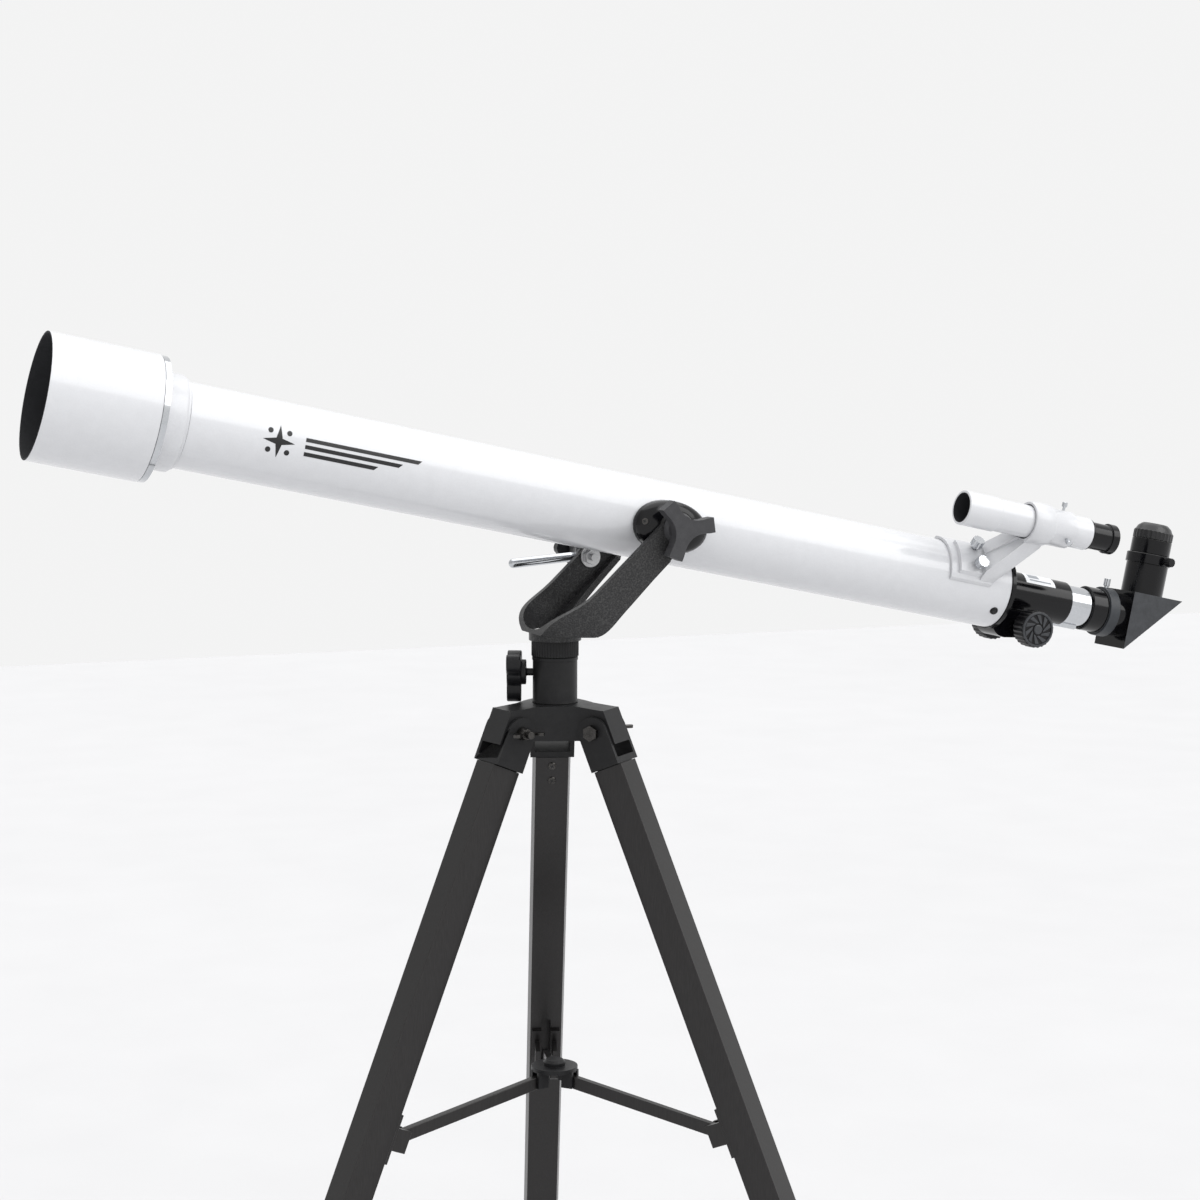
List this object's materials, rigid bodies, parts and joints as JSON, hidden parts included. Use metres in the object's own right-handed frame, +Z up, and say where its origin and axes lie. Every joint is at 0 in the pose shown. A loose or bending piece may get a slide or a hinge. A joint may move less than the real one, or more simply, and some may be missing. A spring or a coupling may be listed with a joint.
{
  "type": "telescope on tripod",
  "caption": "Long white refractor telescope on a U-shaped yoke mount, with finder, star diagonal and rack focuser, carried by a dark folding aluminium tripod.",
  "frame": {"origin": "bottom centre of the bounding box, on the floor", "axes": "+Z up, +X toward the eyepiece end of the tube, +Y to the far side, away from the altitude knob"},
  "size_m": [1.0039, 0.6065, 1.0151],
  "materials": {
    "white_paint": "gloss",
    "black_gloss_plastic": "gloss",
    "black_satin_plastic": "satin",
    "hammertone_paint": "hammered satin",
    "knob_plastic": "matte",
    "hub_casting": "satin",
    "leg_aluminium": "dark anodised satin",
    "chrome_plate": "polished",
    "plain_steel": "satin",
    "foot_rubber": "matte",
    "optical_glass": "polished",
    "mirror_glass": "polished"
  },
  "bodies": {
    "stand": {"tripod_hub": "hub_casting", "column": "hub_casting", "azimuth_collar": "hub_casting", "pivot_bolt_rear": "plain_steel", "pivot_bolt_left": "plain_steel", "pivot_bolt_right": "plain_steel"},
    "azimuth_lock": {"azimuth_lock_knob": "black_satin_plastic"},
    "mount": {"yoke": "hammertone_paint", "azimuth_spindle": "plain_steel"},
    "tube": {"main_tube": "white_paint", "dew_shield": "white_paint", "trim_ring": "chrome_plate", "objective_cell": "white_paint", "objective_lens": "optical_glass", "trunnion_cap_near": "black_gloss_plastic", "trunnion_cap_far": "black_gloss_plastic", "trunnion_bolt": "plain_steel", "rod_bracket": "black_satin_plastic", "focuser_body": "black_gloss_plastic", "finder_bracket": "white_paint", "finder_tube": "white_paint", "finder_lens": "optical_glass", "finder_eyepiece": "black_gloss_plastic"},
    "altitude_lock": {"altitude_knob": "knob_plastic"},
    "rod_pivot": {"rod_clamp": "black_satin_plastic"},
    "rod_lock": {"rod_clamp_knob": "black_satin_plastic"},
    "rod": {"slow_motion_rod": "chrome_plate"},
    "focus_drive": {"pinion_shaft": "plain_steel", "focus_knob_near": "black_satin_plastic", "focus_knob_far": "black_satin_plastic"},
    "drawtube_body": {"drawtube": "chrome_plate", "visual_back": "black_gloss_plastic"},
    "back_screw": {"visual_back_screw": "chrome_plate"},
    "diagonal": {"diagonal_housing": "black_satin_plastic", "diagonal_nosepiece": "chrome_plate", "diagonal_mirror": "mirror_glass"},
    "eyepiece_screw": {"holder_screw": "black_satin_plastic"},
    "eyepiece": {"eyepiece_body": "black_gloss_plastic", "eyecup": "foot_rubber"},
    "finder_nut_a": {"finder_nut_upper": "chrome_plate"},
    "finder_nut_b": {"finder_nut_lower": "chrome_plate"},
    "spreader": {"spreader_hub": "black_satin_plastic"},
    "leg_rear": {"leg_bracket_rear": "hub_casting", "upper_leg_rear": "leg_aluminium"},
    "leg_lower_rear": {"lower_leg_rear": "leg_aluminium", "foot_rear": "foot_rubber"},
    "leg_lock_rear": {"leg_clamp_rear": "black_satin_plastic"},
    "brace_arm_rear": {"brace_rear": "leg_aluminium"},
    "leg_left": {"leg_bracket_left": "hub_casting", "upper_leg_left": "leg_aluminium"},
    "leg_lower_left": {"lower_leg_left": "leg_aluminium", "foot_left": "foot_rubber"},
    "leg_lock_left": {"leg_clamp_left": "black_satin_plastic"},
    "brace_arm_left": {"brace_left": "leg_aluminium"},
    "leg_right": {"leg_bracket_right": "hub_casting", "upper_leg_right": "leg_aluminium"},
    "leg_lower_right": {"lower_leg_right": "leg_aluminium", "foot_right": "foot_rubber"},
    "leg_lock_right": {"leg_clamp_right": "black_satin_plastic"},
    "brace_arm_right": {"brace_right": "leg_aluminium"}
  },
  "joints": [
    {"name": "azimuth_turn", "type": "hinge", "parent": "stand", "child": "mount", "pos_m": [-0.0851, -0.032, 0.77364], "axis": [0, 0, 1], "continuous": true},
    {"name": "azimuth_lock_turn", "type": "hinge", "parent": "stand", "child": "azimuth_lock", "pos_m": [-0.1082, -0.02243, 0.74564], "axis": [-0.9239, 0.3827, 0], "range_deg": [-180, 180]},
    {"name": "altitude_tilt", "type": "hinge", "parent": "mount", "child": "tube", "pos_m": [-0.00055, -0.032, 0.86211], "axis": [0, 1, 0], "range_deg": [-20, 55]},
    {"name": "altitude_lock_turn", "type": "hinge", "parent": "tube", "child": "altitude_lock", "pos_m": [-0.00055, -0.08385, 0.86211], "axis": [0, -1, 0], "range_deg": [-180, 180]},
    {"name": "rod_pivot_turn", "type": "hinge", "parent": "mount", "child": "rod_pivot", "pos_m": [-0.03648, 0.0195, 0.83324], "axis": [0, 1, 0], "range_deg": [-14, 37]},
    {"name": "rod_slide", "type": "slide", "parent": "rod_pivot", "child": "rod", "axis": [0.9971, 0, 0.0767], "range_m": [-0.0305, 0.0115]},
    {"name": "rod_lock_turn", "type": "hinge", "parent": "rod_pivot", "child": "rod_lock", "pos_m": [-0.03648, 0.03585, 0.83324], "axis": [0, 1, 0], "range_deg": [-180, 180]},
    {"name": "focus_turn", "type": "hinge", "parent": "tube", "child": "focus_drive", "pos_m": [0.3402, -0.032, 0.76702], "axis": [0, 1, 0], "range_deg": [-200, 498]},
    {"name": "drawtube_slide", "type": "slide", "parent": "tube", "child": "drawtube_body", "axis": [0.9789, 0, -0.2045], "range_m": [-0.018, 0.045]},
    {"name": "back_screw_turn", "type": "hinge", "parent": "drawtube_body", "child": "back_screw", "pos_m": [0.43624, -0.032, 0.7964], "axis": [0.2045, 0, 0.9789], "range_deg": [-180, 180]},
    {"name": "diagonal_turn", "type": "hinge", "parent": "drawtube_body", "child": "diagonal", "pos_m": [0.44153, -0.032, 0.77282], "axis": [0.9789, 0, -0.2045], "continuous": true},
    {"name": "holder_screw_turn", "type": "hinge", "parent": "diagonal", "child": "eyepiece_screw", "pos_m": [0.48328, -0.0517, 0.81875], "axis": [0.17, -0.9848, -0.0355], "range_deg": [-180, 180]},
    {"name": "eyepiece_slide", "type": "slide", "parent": "diagonal", "child": "eyepiece", "axis": [0.2045, 0, 0.9789], "range_m": [0, 0.035]},
    {"name": "finder_nut_upper_turn", "type": "hinge", "parent": "tube", "child": "finder_nut_a", "pos_m": [0.28711, -0.05909, 0.8405], "axis": [0.1611, -0.6157, 0.7714], "range_deg": [-180, 180]},
    {"name": "finder_nut_lower_turn", "type": "hinge", "parent": "tube", "child": "finder_nut_b", "pos_m": [0.28396, -0.07155, 0.82544], "axis": [0.0896, -0.8988, 0.4291], "range_deg": [-180, 180]},
    {"name": "leg_fold_rear", "type": "hinge", "parent": "stand", "child": "leg_rear", "pos_m": [-0.0717, 0.00781, 0.70164], "axis": [-0.9478, 0.319, 0], "range_deg": [0, 22.6]},
    {"name": "leg_extend_rear", "type": "slide", "parent": "leg_rear", "child": "leg_lower_rear", "axis": [0.1226, 0.3642, -0.9232], "range_m": [0, 0.43]},
    {"name": "leg_clamp_rear_turn", "type": "hinge", "parent": "leg_rear", "child": "leg_lock_rear", "pos_m": [-0.00038, 0.21975, 0.20006], "axis": [0.2945, 0.875, 0.3843], "range_deg": [-180, 180]},
    {"name": "brace_rear_turn", "type": "hinge", "parent": "spreader", "child": "brace_arm_rear", "pos_m": [-0.08063, -0.01873, 0.41197], "axis": [-0.9478, 0.319, 0], "range_deg": [0, 78]},
    {"name": "leg_fold_left", "type": "hinge", "parent": "stand", "child": "leg_left", "pos_m": [-0.12627, -0.0403, 0.70164], "axis": [0.1977, -0.9803, 0], "range_deg": [0, 22.6]},
    {"name": "leg_extend_left", "type": "slide", "parent": "leg_left", "child": "leg_lower_left", "axis": [-0.3767, -0.076, -0.9232], "range_m": [0, 0.43]},
    {"name": "leg_clamp_left_turn", "type": "hinge", "parent": "leg_left", "child": "leg_lock_left", "pos_m": [-0.34549, -0.0845, 0.20006], "axis": [-0.905, -0.1825, 0.3843], "range_deg": [-180, 180]},
    {"name": "brace_left_turn", "type": "hinge", "parent": "spreader", "child": "brace_arm_left", "pos_m": [-0.09882, -0.03477, 0.41197], "axis": [0.1977, -0.9803, 0], "range_deg": [0, 78]},
    {"name": "leg_fold_right", "type": "hinge", "parent": "stand", "child": "leg_right", "pos_m": [-0.05733, -0.06351, 0.70164], "axis": [0.7501, 0.6613, 0], "range_deg": [0, 22.6]},
    {"name": "leg_extend_right", "type": "slide", "parent": "leg_right", "child": "leg_lower_right", "axis": [0.2541, -0.2883, -0.9232], "range_m": [0, 0.43]},
    {"name": "leg_clamp_right_turn", "type": "hinge", "parent": "leg_right", "child": "leg_lock_right", "pos_m": [0.09056, -0.23125, 0.20006], "axis": [0.6105, -0.6925, 0.3843], "range_deg": [-180, 180]},
    {"name": "brace_right_turn", "type": "hinge", "parent": "spreader", "child": "brace_arm_right", "pos_m": [-0.07584, -0.0425, 0.41197], "axis": [0.7501, 0.6613, 0], "range_deg": [0, 78]},
    {"name": "spreader_lift", "type": "slide", "parent": "stand", "child": "spreader", "axis": [0, 0, 1], "range_m": [0, 0.097]}
  ],
  "couplings": [
    {"joint": "focus_turn", "follows": "drawtube_slide", "rad_per_m": 192.31},
    {"joint": "rod_pivot_turn", "follows": "altitude_tilt", "ratio": 0.66},
    {"joint": "rod_slide", "follows": "altitude_tilt", "m_per_rad": -0.031},
    {"joint": "leg_fold_left", "follows": "leg_fold_rear", "ratio": 1},
    {"joint": "leg_fold_right", "follows": "leg_fold_rear", "ratio": 1},
    {"joint": "spreader_lift", "follows": "leg_fold_rear", "m_per_rad": 0.2422},
    {"joint": "brace_rear_turn", "follows": "leg_fold_rear", "ratio": 3.436},
    {"joint": "brace_left_turn", "follows": "leg_fold_rear", "ratio": 3.436},
    {"joint": "brace_right_turn", "follows": "leg_fold_rear", "ratio": 3.436}
  ]
}
